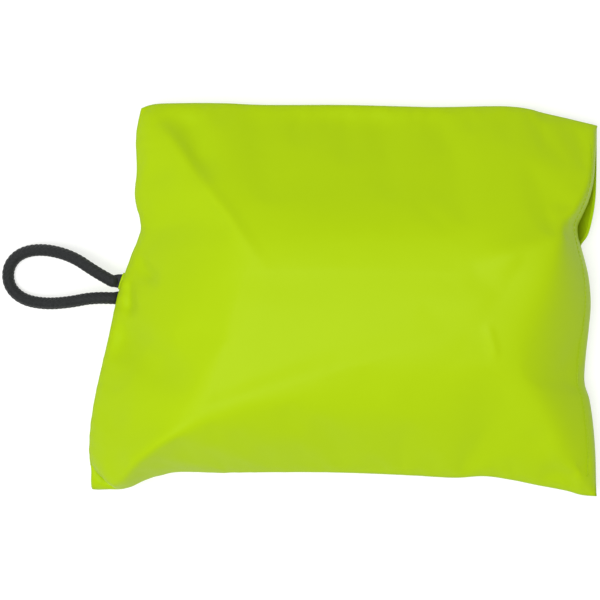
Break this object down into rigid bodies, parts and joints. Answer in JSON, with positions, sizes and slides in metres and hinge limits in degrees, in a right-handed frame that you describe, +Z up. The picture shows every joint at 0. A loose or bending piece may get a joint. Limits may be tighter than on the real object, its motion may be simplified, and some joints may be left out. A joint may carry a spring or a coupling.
{
  "type": "camp pillow",
  "caption": "Compact camp pillow: a thin coated-cloth case with an open tucked end, a lined foam and fibre insert, and a braided cord hang loop sewn into one short side.",
  "frame": {"origin": "under the middle of the pillow without its hang loop, on the surface that it rests on", "axes": "+X along the pillow from the hang loop's side to the mouth, +Y across it, +Z up through its thickness"},
  "size_m": [0.3908, 0.2562, 0.084],
  "materials": {
    "case_cloth": "fine plain weave, thinly coated, soft satin",
    "thread": "spun thread, matt",
    "seam_tape": "woven binding tape, matt",
    "label": "satin ribbon, blank",
    "cord": "tubular braid, matt",
    "tack_thread": "dense zigzag stitches, matt",
    "liner": "light ticking, matt",
    "batting": "loose polyester fibre",
    "foam": "open-cell foam, matt"
  },
  "bodies": {
    "case": {"back_panel": "case_cloth", "mouth_hem_front": "case_cloth", "mouth_hem_back": "case_cloth", "mouth_thread": "thread", "seam_tape_top": "seam_tape", "seam_tape_left": "seam_tape", "seam_tape_bottom": "seam_tape", "seam_thread_top": "thread", "seam_thread_left": "thread", "seam_thread_bottom": "thread", "care_label": "label", "anchor_patch": "seam_tape", "loop_tails": "cord", "loop_bar_tacks": "tack_thread", "liner_bottom": "liner", "batting_bottom": "batting", "foam_core": "foam"},
    "crown": {"front_panel": "case_cloth", "tuck_flap": "case_cloth", "flap_hem": "case_cloth", "liner_top": "liner", "batting_top": "batting"},
    "loop": {"hang_loop": "cord"}
  },
  "joints": [
    {"name": "crown_press", "type": "slide", "parent": "case", "child": "crown", "axis": [0, 0, -1], "range_m": [0, 0.025], "stiffness_N_per_m": 1600, "deforming": ["front_panel", "tuck_flap", "flap_hem", "liner_top", "foam_core"]},
    {"name": "loop_swing", "type": "hinge", "parent": "case", "child": "loop", "pos_m": [-0.1505, 0.00675, 0.028], "axis": [0, 1, 0], "range_deg": [-60, 95]}
  ]
}
